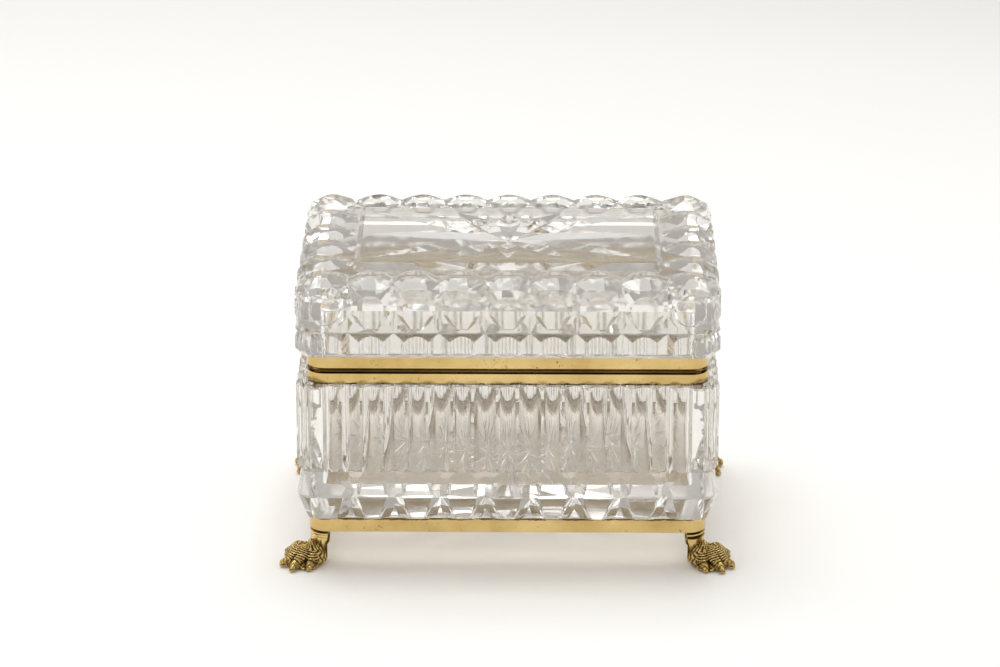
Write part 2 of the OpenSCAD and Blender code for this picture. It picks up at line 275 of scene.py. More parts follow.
def roundel(rng):
    """A round flat window with a bevelled rim, in boss coordinates, centred on u = 0."""
    planes = [((0, 0.0, 99.9), tilt(rng, (0, 1, 0), 0.004))]
    for k in range(20):
        a = math.tau * k / 20
        d = (math.sin(a), math.cos(a))
        planes.append(((d[0] * 5.1, 0.0, 99.9 + d[1] * 5.1), (d[0], 1.15, d[1])))
    return solid((-8, -4.0, 92.4), (8, 0.5, 107.4), planes, 0.1)


def star_cutters():
    """V-shaped mitre cuts across the panel, deepest in the middle and running out at their tips."""
    rng = random.Random(5)
    out = []
    deep, wall = 2.65, 0.43
    for tip in ((50.5, 0.0), (49.0, 25.5), (-49.0, 25.5), (19.6, 25.2), (-19.6, 25.2), (0.0, 25.6)):
        length = math.hypot(*tip)
        dx, dy = tip[0] / length, tip[1] / length
        d = deep * rng.uniform(0.96, 1.03)
        if abs(tip[0]) > 40 and tip[1] > 1:
            d *= 0.80
        bm = bmesh.new()
        steps = 14
        pts = []
        for k in range(-steps, steps + 1):
            t = k / steps * 1.04
            fall = d * (1 - t * t)
            zb = Z_TOP - fall
            top = Z_TOP + 1.2
            pts.append((t * length, 0.0, zb))
            half = (top - zb) / wall
            pts.append((t * length, half, top))
            pts.append((t * length, -half, top))
        for x, y, z in pts:
            bm.verts.new((x * dx - y * dy, x * dy + y * dx + 0.2, z))
        bmesh.ops.convex_hull(bm, input=bm.verts[:], use_existing_faces=False)
        bmesh.ops.delete(bm, geom=[v for v in bm.verts if not v.link_faces], context="VERTS")
        out.append(mesh_of(bm))
    return out


def face_centres():
    """Every boss that isn't on a corner: (face, place along it, half pitch)."""
    out = []
    for i in range(7):
        out.append(("front", (i - 3) * PX, PX / 2))
        out.append(("rear", (i - 3) * PX, PX / 2))
    for i in range(4):
        out.append(("right", (i - 1.5) * PY, PY / 2))
        out.append(("left", (i - 1.5) * PY, PY / 2))
    return out


def flutes(wide, ridge, deep, vee, corner_r, hollow=0.0, corner_deep=0.5, steps=12):
    """The plan outline of the fluted walls. Each boss has one hollow flute in its middle, a narrow ridge on either side, and half a V, its walls hollow too, that it shares with its neighbour."""
    big = (wide * wide + deep * deep) / (2 * deep)
    out = []

    def side(half, pitch, count):
        cs = [((i - (count - 1) / 2) * pitch, pitch / 2) for i in range(count)]
        corner_c = half - 12.35
        cs = [(-corner_c, corner_c - (count / 2) * pitch)] + cs + [(corner_c, corner_c - (count / 2) * pitch)]
        pts = []
        for k, (c, hw) in enumerate(cs):
            if k > 0:
                for j in range(0, 6):
                    t = j / 6
                    pts.append((c - hw + (hw - ridge) * t, -vee * (1 - t) - hollow * 4 * t * (1 - t)))
            pts.append((c - ridge, 0.0))
            for j in range(0, steps + 1):
                t = wide * (-1 + 2 * j / steps)
                pts.append((c + t, -(deep - big + math.sqrt(big * big - t * t))))
            pts.append((c + ridge, 0.0))
            if k < len(cs) - 1:
                for j in range(1, 6):
                    t = j / 6
                    pts.append((c + ridge + (hw - ridge) * t, -vee * t - hollow * 4 * t * (1 - t)))
        return pts
    fx = side(HX, PX, 7)
    fy = side(HY, PY, 4)
    r = corner_r
    hx, hy = HX, HY
    corner = []
    for k in range(25):
        a = math.radians(90 * k / 24)
        q = r - corner_deep * abs(math.sin(3 * math.pi * k / 24))
        corner.append((q * math.sin(a), q * math.cos(a)))
    # counterclockwise, from the front left corner
    for u, n in fx:
        out.append((u, -(hy + n)))
    for a, b in corner:
        out.append((hx - r + a, -(hy - r + b)))
    for u, n in fy:
        out.append((hx + n, u))
    for a, b in corner:
        out.append((hx - r + b, hy - r + a))
    for u, n in reversed(fx):
        out.append((u, hy + n))
    for a, b in corner:
        out.append((-(hx - r + a), hy - r + b))
    for u, n in reversed(fy):
        out.append((-(hx + n), u))
    for a, b in corner:
        out.append((-(hx - r + b), -(hy - r + a)))
    clean = []
    for p in out:
        if not clean or math.dist(p, clean[-1]) > 0.02:
            clean.append(p)
    if math.dist(clean[0], clean[-1]) < 0.02:
        clean.pop()
    return clean


def ring_cut(hx, hy, rows, corner):
    """Convex frustum around the box: rows of (outset, z, normal outwards, normal up) planes on all four sides, with canted corners."""
    planes = []
    for inset, z, no, nz in rows:
        for sx in (-1, 1):
            planes.append(((sx * (hx + inset), 0, z), (sx * no, 0, nz)))
        for sy in (-1, 1):
            planes.append(((0, sy * (hy + inset), z), (0, sy * no, nz)))
        for sx in (-1, 1):
            for sy in (-1, 1):
                for k in range(1, 6):
                    a = math.radians(15 * k)
                    d = (math.cos(a), math.sin(a))
                    px, py = hx + inset - corner + corner * d[0], hy + inset - corner + corner * d[1]
                    planes.append(((sx * px, sy * py, z), (sx * d[0] * no, sy * d[1] * no, nz)))
    return planes


def build_lid():
    rng = random.Random(7)
    gems = []
    for face, at, hw in face_centres():
        gems.append(mesh_of(put(lid_boss(rng, hw), face, at)))
    for sx in (-1, 1):
        for sy in (-1, 1):
            gems.append(mesh_of(lid_corner(rng, sx, sy)))
    for face, half in (("front", HX), ("rear", HX), ("right", HY), ("left", HY)):
        for sgn in (-1, 1):
            gems.append(mesh_of(put(roundel(rng), face, sgn * (half - 10.9))))
    # the core: its face shows between the windows, and below them it leans out to the ridge
    planes = ring_cut(HX, HY, ((-1.2, 99.0, 1, 0), (-1.2, 103.3, 1.0, 1.0), (-5.3, 107.6, 0.3, 1.0)), 5.6)
    core = mesh_of(solid((-HX + 0.4, -HY + 0.4, 91.0), (HX - 0.4, HY - 0.4, 108.28), planes))
    tent = mesh_of(solid((-HX, -HY, 91.1), (HX, HY, 99.0), ring_cut(HX, HY, ((-0.1, 91.9, 5.4, 1.9), (-0.1, 91.9, 0.7, -0.9)), 5.6)))
    for face, count, pitch in (("front", 7, PX), ("rear", 7, PX), ("right", 4, PY), ("left", 4, PY)):
        for k in range(count + 1):
            gems.append(mesh_of(put(lid_tent(rng), face, (k - count / 2) * pitch)))
    table = mesh_of(solid((-60, -40, 100), (60, 40, Z_TOP), [
        ((53.1, 0, Z_TOP), (2.2, 0, 2.0)), ((-53.1, 0, Z_TOP), (-2.2, 0, 2.0)),
        ((0, 30.6, Z_TOP), (0, 2.2, 2.0)), ((0, -30.6, Z_TOP), (0, -2.2, 2.0))]))
    # the fluted skirt
    skirt = mesh_of(prism(flutes(4.2, 4.4, 0.75, 1.25, 5.6), Z_LID, 91.6))
    frustum = mesh_of(solid((-HX - 1, -HY - 1, Z_LID), (HX + 1, HY + 1, 91.5),
                            ring_cut(HX, HY, ((-1.25, 91.4, 2.9, 1.25), (-2.0, Z_LID, 2.2, -2.0)), 5.6)))
    skirt = combine(skirt, [frustum], "INTERSECT")
    outer = combine(core, gems + [tent, table, skirt], "UNION")
    outer = combine(outer, star_cutters(), "DIFFERENCE")
    cavity = mesh_of(prism(rounded(66.5, 44.0, 3.0), Z_LID - 1, 98.0))
    return combine(outer, [cavity], "DIFFERENCE")


def base_boss(rng, hw):
    """One of the octagonal bosses round the foot of the box: its widest line is a narrow flat at z = 28.6 to 29.7."""
    s = hw / 8.07
    planes = [((0, 0.0, 29.1), (0, 1, 0)),
              ((0, 0.0, 29.7), tilt(rng, (0, 8.4, 1.65), 0.012)),
              ((0, 0.0, 28.6), tilt(rng, (0, 0.927, -0.378), 0.008))]
    for sgn in (-1, 1):
        # the shallow V shared with the neighbour, above and below the widest line
        planes.append(((5.6 * sgn * s, 0.0, 28.8), tilt(rng, (0.60 * sgn, 0.78, 0.16), 0.02)))
        planes.append(((4.9 * sgn * s, 0.0, 28.6), tilt(rng, (0.40 * sgn, 0.82, -0.42), 0.02)))
        # the upper and the lower diagonals of the octagon
        planes.append(((2.7 * sgn * s, -1.65, 38.1), tilt(rng, (0.45 * sgn, 0.72, 0.53), 0.012)))
        planes.append(((6.6 * sgn * s, 0.0, 28.0), tilt(rng, (0.47 * sgn, 0.74, -0.48), 0.02)))
        # a short cut that opens the fan between two bosses
        planes.append(((4.4 * sgn * s, -3.3, 21.2), tilt(rng, (0.40 * sgn, 0.80, -0.43), 0.02)))
    return solid((-8.9 * s, -8.0, 18.95), (8.9 * s, 0.6, 39.2), planes, 0.16)


def base_corner(rng, sx, sy):
    r = 5.6
    planes = []
    for k in range(0, 10):
        a = math.radians(90.0 * k / 9)
        d = (math.cos(a), math.sin(a))
        px, py = HX - r + r * d[0], HY - r + r * d[1]
        planes.append(((px, py, 29.1), (d[0], d[1], 0.0)))
        planes.append(((px, py, 29.7), (d[0] * 8.4, d[1] * 8.4, 1.65)))
        planes.append(((px, py, 28.6), (d[0] * 0.927, d[1] * 0.927, -0.378)))
    for axis in (0, 1):
        wc = (HX if axis == 0 else HY) - 75.5
        for co, no in (((59.2, 0.0, 28.8), (-0.22, 1.0, 0.08)), ((59.2, 0.0, 28.6), (-0.26, 0.90, -0.40)),
                       ((62.9, -1.65, 38.1), (-0.42, 0.72, 0.53)), ((57.3, 0.0, 28.6), (-0.266, 0.843, -0.467)),
                       ((60.4, -3.3, 21.2), (-0.40, 0.80, -0.43))):
            no = tilt(rng, no, 0.015)
            if axis == 0:
                planes.append(((wc + co[0], HY + co[1], co[2]), (no[0], no[1], no[2])))
            else:
                planes.append(((HX + co[1], wc + co[0], co[2]), (no[1], no[0], no[2])))
    # the corner's own diagonals, across the rounded edge
    planes.append(((HX - 2.3, HY - 2.3, 36.0), tilt(rng, (0.62, 0.62, 0.50), 0.01)))
    planes.append(((HX - 3.2, HY - 3.2, 24.0), tilt(rng, (0.62, 0.62, -0.40), 0.01)))
    bm = solid((HX - 20.5, HY - 20.5, 18.95), (HX + 0.6, HY + 0.6, 39.2), planes, 0.14)
    for v in bm.verts:
        v.co.x *= sx
        v.co.y *= sy
    return bm


def nick(u):
    """A small three-sided nick where the diagonals of a boss run into its widest line."""
    return solid((u - 2.6, -2.4, 30.0), (u + 2.6, 0.9, 34.4), [
        ((u, -2.2, 33.6), (0.72, -0.62, -0.30)), ((u, -2.2, 33.6), (-0.72, -0.62, -0.30)), ((u, -2.2, 33.6), (0, -0.45, 0.89))])


def fan_cut(u0, u1):
    """A narrow mitre cut down the lower face of a boss, from the widest line to the band."""
    a, b = Vector((u0, -0.25, 28.3)), Vector((u1, -3.9, 19.0))
    out = Vector((0, 0.927, -0.378))
    side = (b - a).cross(out).normalized()
    bm = bmesh.new()
    ring = []
    for p, deep in ((a, 0.25), (b, 0.95)):
        ring.append([bm.verts.new(p + q) for q in (-out * deep, out * 1.2 + side * (deep + 1.2) * 0.8, out * 1.2 - side * (deep + 1.2) * 0.8)])
    bm.faces.new(ring[0])
    bm.faces.new(list(reversed(ring[1])))
    for i in range(3):
        j = (i + 1) % 3
        bm.faces.new((ring[0][j], ring[0][i], ring[1][i], ring[1][j]))
    return bm


def base_star():
    """The star cut into the underside: mitre cuts through the middle, running out before the frame."""
    out = []
    for k in range(8):
        a = math.radians(22.5 * k + 4.0)
        length = 1.0 / math.hypot(math.cos(a) / 58.0, math.sin(a) / 36.0)
        dx, dy = math.cos(a), math.sin(a)
        bm = bmesh.new()
        for j in range(-8, 9):
            t = j / 8 * 1.03
            high = 15.76 + 2.3 * (1 - t * t)
            low = 14.6
            half = (high - low) / 0.62
            for x, y, z in ((t * length, 0, high), (t * length, half, low), (t * length, -half, low)):
                bm.verts.new((x * dx - y * dy, x * dy + y * dx, z))
        bmesh.ops.convex_hull(bm, input=bm.verts[:], use_existing_faces=False)
        bmesh.ops.delete(bm, geom=[v for v in bm.verts if not v.link_faces], context="VERTS")
        out.append(mesh_of(bm))
    return out


def build_body():
    rng = random.Random(11)
    gems = []
    for face, at, hw in face_centres():
        gems.append(mesh_of(put(base_boss(rng, hw), face, at)))
    for sx in (-1, 1):
        for sy in (-1, 1):
            gems.append(mesh_of(base_corner(rng, sx, sy)))
    wall = mesh_of(prism(flutes(3.2, 4.15, 2.0, 2.9, 5.6, hollow=0.45, corner_deep=0.75), 38.1, 70.86))
    frustum = mesh_of(solid((-HX - 1, -HY - 1, 38.0), (HX + 1, HY + 1, 71.5), ring_cut(
        HX, HY, ((0.0, 70.3, 1.0, 1.0), (0.0, 40.1, 1.19, -1.0)), 5.6)))
    wall = combine(wall, [frustum], "INTERSECT")
    core = mesh_of(solid((-HX + 0.4, -HY + 0.4, Z_BASE), (HX - 0.4, HY - 0.4, 39.4), ring_cut(
        HX, HY, ((-2.9, 28.8, 9.5, 1.65), (-2.0, 28.8, 0.93, -0.36)), 5.6)))
    # the neck that stands inside the rim, and the foot that stands inside the base frame
    neck = mesh_of(prism(rounded(70.02, 47.52, 4.98), 69.5, 73.6))
    foot = mesh_of(prism(rounded(69.9, 47.4, 4.8), 15.76, 19.6))
    outer = combine(core, gems + [wall, neck, foot], "UNION")
    cuts = base_star()
    for face, at, hw in face_centres():
        s = hw / 8.07
        for sgn in (-1, 1):
            cuts.append(mesh_of(put(nick(sgn * 4.9 * s), face, at)))
            cuts.append(mesh_of(put(fan_cut(sgn * 7.2 * s, sgn * 2.2 * s), face, at)))
            cuts.append(mesh_of(put(fan_cut(sgn * 7.4 * s, sgn * 4.9 * s), face, at)))
    outer = combine(outer, cuts, "DIFFERENCE")
    cavity = mesh_of(prism(rounded(66.5, 44.0, 3.0), 31.0, Z_BODY + 1))
    return combine(outer, [cavity], "DIFFERENCE")


# ------------------------------------------------------------------ the feet
TOES = (        # knuckle, radius, ball, radius, tip of the claw
    ((75.2, 45.3, 6.2), 2.35, (78.7, 41.9, 3.1), 1.9, (80.3, 39.9, 1.3)),
    ((75.2, 46.9, 5.9), 2.3, (78.9, 48.5, 2.5), 1.9, (81.4, 49.6, 1.25)),
    ((73.3, 48.3, 5.3), 2.3, (76.4, 51.5, 2.2), 1.9, (77.8, 53.9, 1.2)),
    ((70.4, 47.9, 4.8), 2.3, (71.2, 50.9, 2.1), 1.85, (71.6, 53.3, 1.15)),
)
LUMPS = (       # heel, fur and pad: centre, radii
    ((70.4, 46.0, 4.6), (4.9, 4.6, 4.7)),
    ((69.6, 46.6, 3.4), (4.3, 4.1, 3.6)),
    ((71.2, 48.1, 8.6), (1.0, 1.0, 2.2)),
    ((73.6, 46.4, 4.2), (4.6, 4.6, 4.2)),
    ((69.9, 45.4, 2.0), (3.7, 3.6, 2.4)),
    ((75.0, 46.9, 1.2), (5.6, 5.2, 1.7)),
    ((72.5, 49.2, 1.0), (4.6, 4.0, 1.4)),
)


def ball(bm, centre, radii, detail=3):
    made = bmesh.ops.create_icosphere(bm, subdivisions=detail, radius=1.0)
    for v in made["verts"]:
        v.co = Vector((centre[i] + v.co[i] * radii[i] for i in range(3)))


def paw():
    """The lion's paw in millimetres, at the +X +Y corner: voxel-remeshed from its lumps, then chased with ribs and fur."""
    bm = bmesh.new()
    for centre, radii in LUMPS:
        ball(bm, centre, radii)
    for a, ra, b, rb, c in TOES:
        a, b, c = Vector(a), Vector(b), Vector(c)
        for k in range(9):
            t = k / 8
            r = ra + (rb - ra) * t + 0.25 * math.sin(math.pi * min(1.0, 2.2 * t)) * (t < 0.46)
            ball(bm, a.lerp(b, t), (r, r, r))
        for k in range(1, 8):
            t = k / 7
            r = 1.55 + (1.15 - 1.55) * t ** 2
            p = b.lerp(c, t)
            p.z += 0.5 * math.sin(math.pi * t)
            ball(bm, p, (r, r, r), 2)
    me = bpy.data.meshes.new("lumps")
    bm.to_mesh(me)
    bm.free()
    ob = bpy.data.objects.new("work", me)
    scene.collection.objects.link(ob)
    mod = ob.modifiers.new("r", "REMESH")
    mod.mode = "VOXEL"
    mod.voxel_size = 0.19
    smooth = ob.modifiers.new("s", "SMOOTH")
    smooth.factor = 0.5
    smooth.iterations = 2
    made = bpy.data.meshes.new_from_object(ob.evaluated_get(bpy.context.evaluated_depsgraph_get()))
    bpy.data.objects.remove(ob)
    bpy.data.meshes.remove(me)
    n = len(made.vertices)
    co = np.empty(n * 3)
    made.vertices.foreach_get("co", co)
    co = co.reshape(-1, 3)
    no = np.empty(n * 3)
    made.vertices.foreach_get("normal", no)
    no = no.reshape(-1, 3)
    best = np.full(n, 9.0)
    shift = np.zeros(n)
    # ribs across each toe, bent towards the claw
    for i, (a, ra, b, rb, c) in enumerate(TOES):
        a, b = np.array(a), np.array(b)
        line = b - a
        long = np.linalg.norm(line)
        line = line / long
        side = np.cross(line, (0, 0, 1.0))
        side /= np.linalg.norm(side)
        rel = co - a
        s = rel @ line
        lat = rel @ side
        r = ra + (rb - ra) * np.clip(s / long, 0, 1)
        away = np.linalg.norm(rel - np.clip(s, 0, long)[:, None] * line, axis=1) - r
        mine = away < best
        best = np.where(mine, away, best)
        bend = s + 0.16 * lat ** 2
        rib = np.abs(np.sin(math.pi * bend / 0.86 + i))
        gate = np.clip((s + 1.4) / 0.5, 0, 1) * np.clip((long * 0.80 - s) / 0.4, 0, 1) * np.clip((no[:, 2] + 0.35) / 0.4, 0, 1) * np.clip((0.75 - away) / 0.3, 0, 1)
        nail = np.clip((s - long * 0.86) / 0.1, 0, 1)
        deep = (rib - 0.72) * 0.42 * gate - 0.30 * np.exp(-((s - long * 0.88) / 0.22) ** 2) * np.clip((0.7 - away) / 0.3, 0, 1)
        shift = np.where(mine, deep, shift)
    # tufts of fur on the heel, running down from the post
    cx, cy = 70.3, 45.6
    ang = np.arctan2(co[:, 1] - cy, co[:, 0] - cx)
    wob = 0.35 * np.sin(co[:, 2] * 1.7 + 3 * ang)
    tuft = np.abs(np.sin(8.5 * ang + wob * 3))
    lock = np.abs(np.sin(co[:, 2] * 1.25 + 2.0 * np.sin(4.2 * ang)))
    heel = np.clip((best - 0.35) / 0.5, 0, 1) * np.clip((co[:, 2] - 0.9) / 0.6, 0, 1)
    shift = shift * (1 - heel) + ((tuft - 0.75) * 0.42 + (lock - 0.7) * 0.28) * heel
    # the casting is a little lumpy
    shift = shift + 0.10 * np.sin(2.9 * co[:, 0] + 1.3 * co[:, 2]) * np.sin(2.3 * co[:, 1] - 1.9 * co[:, 2] + 1.0) + 0.05 * np.sin(7.1 * co[:, 0] - 4.0 * co[:, 1]) * np.sin(6.3 * co[:, 2] + 3.7 * co[:, 1])
    co = co + no * shift[:, None]
    co[:, 2] = np.maximum(co[:, 2], -0.5)
    made.vertices.foreach_set("co", co.ravel())
    made.update()
    return made


def post(second):
    """The bracket above the paw: rounded as the frame's corner, flared under the band and narrower below, with a hollow
    under the band that is deepest at the corner; on one side of the box a second moulding is cut below it."""
    low = 1.0 if second else 0.15
    rows = ((13.98, 0.12, 0.0), (13.85, 0.15, 0.3), (13.7, 0.2, 1.3), (13.1, 0.2, 1.2), (13.0, 0.16, 0.2), (12.9, 0.12, 0.0), (12.5, 0.12, 0.0),
            (12.42, 0.14, 0.5 * low), (12.25, 0.2, 0.95 * low), (11.45, 0.2, 0.95 * low), (11.3, 0.2, 0.3 * low), (11.15, 0.16, 0.0),
            (9.5, 0.30, 0.0), (6.5, 0.45, 0.0), (4.6, 0.40, 0.0), (3.4, 0.5, 0.0))
    bm = bmesh.new()
    rings = []
    for z, inset, deep in rows:
        hx, hy, r = 71.6 - inset, 49.1 - inset, 6.5 - inset
        flare = 0.9 * max(0.0, (z - 12.2) / 1.8) ** 1.6
        x0, y0 = 64.85 + 0.07 * (14 - z) - flare, 42.6 + 0.07 * (14 - z) - flare
        line = [(x0, y0, 0), (hx, y0, 0.1)]
        for k in range(17):
            a = math.radians(90 * k / 16)
            line.append((hx - r + r * math.cos(a), hy - r + r * math.sin(a), math.sin(2 * a) ** 0.7 if 0 < k < 16 else 0.0))
        line.append((x0, hy, 0))
        ring = []
        for x, y, w in line:
            d = Vector((x - 66.0, y - 43.5))
            way = d.normalized() * (deep * (0.35 + 0.65 * w) if x > x0 and y > y0 else 0.0)
            ring.append(bm.verts.new((x - way.x, y - way.y, z)))
        rings.append(ring)
    n = len(rings[0])
    bm.faces.new(rings[0])
    bm.faces.new(list(reversed(rings[-1])))
    for upper, lower in zip(rings, rings[1:]):
        for i in range(n):
            j = (i + 1) % n
            bm.faces.new((lower[i], lower[j], upper[j], upper[i]))
    return mesh_of(bm)


def screw_boss():
    """The thickening at the back of the post that takes the fixing screw."""
    return mesh_of(solid((64.26, 41.76, 7.2), (67.0, 45.2, 13.97), [((64.26, 42.6, 8), (-1, -1, 0)), ((64.26, 43, 8.6), (-1, 0, -0.8)), ((65, 41.76, 8.6), (0, -1, -0.8))], 0.1))


def build_foot(second):
    rough = combine(paw(), [mesh_of(solid((60, 36, 0), (82.97, 56.8, 11.9), []))], "INTERSECT")
    return combine(rough, [post(second), screw_boss()], "UNION")


# ------------------------------------------------------------------ materials
def material(name):
    m = bpy.data.materials.new(name)
    m.use_nodes = True
    nt = m.node_tree
    return m, nt, nt.nodes["Principled BSDF"]


def node(nt, kind, **values):
    n = nt.nodes.new(kind)
    for k, v in values.items():
        if k in n.inputs:
            n.inputs[k].default_value = v
        else:
            setattr(n, k, v)
    return n


def coords(nt):
    return node(nt, "ShaderNodeTexCoord").outputs["Object"]


def ramp(nt, stops):
    r = nt.nodes.new("ShaderNodeValToRGB")
    r.color_ramp.elements[0].position = stops[0][0]
    r.color_ramp.elements[0].color = stops[0][1]
    r.color_ramp.elements[1].position = stops[-1][0]
    r.color_ramp.elements[1].color = stops[-1][1]
    for p, c in stops[1:-1]:
        e = r.color_ramp.elements.new(p)
        e.color = c
    return r


def grey(v):
    return (v, v, v, 1.0)


def crystal(name, clear, ground=False, soft=(0.008, 0.032)):
    """Lead crystal; clear is the share of light that each surface lets through, in a pair of faintly different tints; soft is its range of roughness."""
    m, nt, b = material(name)
    b.inputs["Transmission Weight"].default_value = 1.0
    b.inputs["IOR"].default_value = 1.54
    co = coords(nt)
    body = node(nt, "ShaderNodeTexNoise", Scale=38.0, Detail=3.0, Roughness=0.5)
    nt.links.new(co, body.inputs["Vector"])
    tint = ramp(nt, [(0.3, clear[0]), (0.7, clear[1])])
    nt.links.new(body.outputs["Fac"], tint.inputs["Fac"])
    nt.links.new(tint.outputs["Color"], b.inputs["Base Color"])
    smear = node(nt, "ShaderNodeTexNoise", Scale=160.0, Detail=4.0, Roughness=0.6)
    nt.links.new(co, smear.inputs["Vector"])
    rr = ramp(nt, [(0.35, grey(soft[0])), (0.75, grey(soft[1]))])
    nt.links.new(smear.outputs["Fac"], rr.inputs["Fac"])
    if ground:
        # the underside is ground flat and left matt, and so are the cuts of its star
        axes = node(nt, "ShaderNodeSeparateXYZ")
        nt.links.new(co, axes.inputs["Vector"])
        low = ramp(nt, [(0.0176, grey(1.0)), (0.0181, grey(0.0))])
        nt.links.new(axes.outputs["Z"], low.inputs["Fac"])
        both = node(nt, "ShaderNodeMix", data_type="RGBA")
        nt.links.new(low.outputs["Color"], both.inputs["Factor"])
        nt.links.new(rr.outputs["Color"], both.inputs["A"])
        both.inputs["B"].default_value = grey(0.2)
        nt.links.new(both.outputs["Result"], b.inputs["Roughness"])
        # the ground underside and its star cuts are tinted darker and warmer
        underside_tint = node(nt, "ShaderNodeMix", data_type="RGBA")
        nt.links.new(low.outputs["Color"], underside_tint.inputs["Factor"])
        nt.links.new(tint.outputs["Color"], underside_tint.inputs["A"])
        underside_tint.inputs["B"].default_value = (0.74, 0.70, 0.63, 1)
        nt.links.new(underside_tint.outputs["Result"], b.inputs["Base Color"])
    else:
        nt.links.new(rr.outputs["Color"], b.inputs["Roughness"])
    wave = node(nt, "ShaderNodeTexNoise", Scale=90.0, Detail=2.0, Roughness=0.4)
    nt.links.new(co, wave.inputs["Vector"])
    bump = node(nt, "ShaderNodeBump", Strength=0.05, Distance=0.0004)
    nt.links.new(wave.outputs["Fac"], bump.inputs["Height"])
    nt.links.new(bump.outputs["Normal"], b.inputs["Normal"])
    return m


def within(nt, axes, hx, hy, z):
    """1 inside the half widths hx and hy and above the height z, else 0."""
    out = node(nt, "ShaderNodeMath", operation="GREATER_THAN")
    nt.links.new(axes.outputs["Z"], out.inputs[0])
    out.inputs[1].default_value = z
    for axis, half in (("X", hx), ("Y", hy)):
        far = node(nt, "ShaderNodeMath", operation="ABSOLUTE")
        nt.links.new(axes.outputs[axis], far.inputs[0])
        near = node(nt, "ShaderNodeMath", operation="LESS_THAN")
        nt.links.new(far.outputs["Value"], near.inputs[0])
        near.inputs[1].default_value = half
        both = node(nt, "ShaderNodeMath", operation="MULTIPLY")
        nt.links.new(out.outputs["Value"], both.inputs[0])
        nt.links.new(near.outputs["Value"], both.inputs[1])
        out = both
    return out.outputs["Value"]


def brass(name, low, high, rough=(0.16, 0.3), edges=(), paler_zones=()):
    """Gilt brass sheet: satin, cloudy, finely pitted.

    edges lists (z of an edge, reach) in metres where brown bloom has crept in;
    paler_zones lists (half width x, half width y, above z, low colour, high colour) where the sheet takes a paler
    colour: on the gilt bands where handling has brightened it, on the dark collar where it keeps its gilt outside its
    painted groove shade.
    """
    m, nt, b = material(name)
    b.inputs["Metallic"].default_value = 1.0
    co = coords(nt)
    broad = node(nt, "ShaderNodeTexNoise", Scale=55.0, Detail=4.0, Roughness=0.6)
    nt.links.new(co, broad.inputs["Vector"])
    tint = ramp(nt, [(0.35, low), (0.65, high)])
    nt.links.new(broad.outputs["Fac"], tint.inputs["Fac"])
    # pits: many small, a few large
    small = node(nt, "ShaderNodeTexNoise", Scale=1500.0, Detail=3.0, Roughness=0.6)
    nt.links.new(co, small.inputs["Vector"])
    where = node(nt, "ShaderNodeTexNoise", Scale=120.0, Detail=3.0, Roughness=0.7)
    nt.links.new(co, where.inputs["Vector"])
    reach = node(nt, "ShaderNodeMath", operation="MULTIPLY_ADD")
    nt.links.new(where.outputs["Fac"], reach.inputs[0])
    reach.inputs[1].default_value = 0.55
    nt.links.new(small.outputs["Fac"], reach.inputs[2])
    gr = ramp(nt, [(0.905, grey(0.0)), (0.94, grey(1.0))])
    shift = node(nt, "ShaderNodeMath", operation="MULTIPLY")
    nt.links.new(reach.outputs["Value"], shift.inputs[0])
    shift.inputs[1].default_value = 0.92
    nt.links.new(shift.outputs["Value"], gr.inputs["Fac"])
    mask = gr.outputs["Color"]
    axes = node(nt, "ShaderNodeSeparateXYZ")
    nt.links.new(co, axes.inputs["Vector"])
    if edges:
        patch = node(nt, "ShaderNodeTexNoise", Scale=230.0, Detail=4.0, Roughness=0.75)
        nt.links.new(co, patch.inputs["Vector"])
        for z, width in edges:
            near = node(nt, "ShaderNodeMath", operation="SUBTRACT")
            nt.links.new(axes.outputs["Z"], near.inputs[0])
            near.inputs[1].default_value = z
            far = node(nt, "ShaderNodeMath", operation="ABSOLUTE")
            nt.links.new(near.outputs["Value"], far.inputs[0])
            rel = node(nt, "ShaderNodeMath", operation="DIVIDE")
            nt.links.new(far.outputs["Value"], rel.inputs[0])
            rel.inputs[1].default_value = width
            gap = node(nt, "ShaderNodeMath", operation="MULTIPLY_ADD")
            nt.links.new(rel.outputs["Value"], gap.inputs[0])
            gap.inputs[1].default_value = -0.22
            nt.links.new(patch.outputs["Fac"], gap.inputs[2])
            bloom = ramp(nt, [(0.36, grey(0.0)), (0.42, grey(0.92))])
            nt.links.new(gap.outputs["Value"], bloom.inputs["Fac"])
            top = node(nt, "ShaderNodeMath", operation="MAXIMUM")
            nt.links.new(mask, top.inputs[0])
            nt.links.new(bloom.outputs["Color"], top.inputs[1])
            mask = top.outputs["Value"]
    sheet = tint.outputs["Color"]
    for hx, hy, z, dull, bright in paler_zones:
        zone_tint = ramp(nt, [(0.35, dull), (0.65, bright)])
        nt.links.new(broad.outputs["Fac"], zone_tint.inputs["Fac"])
        paler = node(nt, "ShaderNodeMix", data_type="RGBA")
        nt.links.new(within(nt, axes, hx, hy, z), paler.inputs["Factor"])
        nt.links.new(sheet, paler.inputs["A"])
        nt.links.new(zone_tint.outputs["Color"], paler.inputs["B"])
        sheet = paler.outputs["Result"]
    mix = node(nt, "ShaderNodeMix", data_type="RGBA")
    nt.links.new(mask, mix.inputs["Factor"])
    nt.links.new(sheet, mix.inputs["A"])
    mix.inputs["B"].default_value = (0.10, 0.055, 0.015, 1)
    nt.links.new(mix.outputs["Result"], b.inputs["Base Color"])
    satin = ramp(nt, [(0.3, grey(rough[0])), (0.7, grey(rough[1]))])
    nt.links.new(broad.outputs["Fac"], satin.inputs["Fac"])
    nt.links.new(satin.outputs["Color"], b.inputs["Roughness"])
    # hammer-soft waviness of the sheet, and the pits
    dent = node(nt, "ShaderNodeBump", Strength=0.15, Distance=0.0004)
    nt.links.new(where.outputs["Fac"], dent.inputs["Height"])
    bump = node(nt, "ShaderNodeBump", Strength=0.4, Distance=0.0001, invert=True)
    nt.links.new(mask, bump.inputs["Height"])
    nt.links.new(dent.outputs["Normal"], bump.inputs["Normal"])
    nt.links.new(bump.outputs["Normal"], b.inputs["Normal"])
    return m


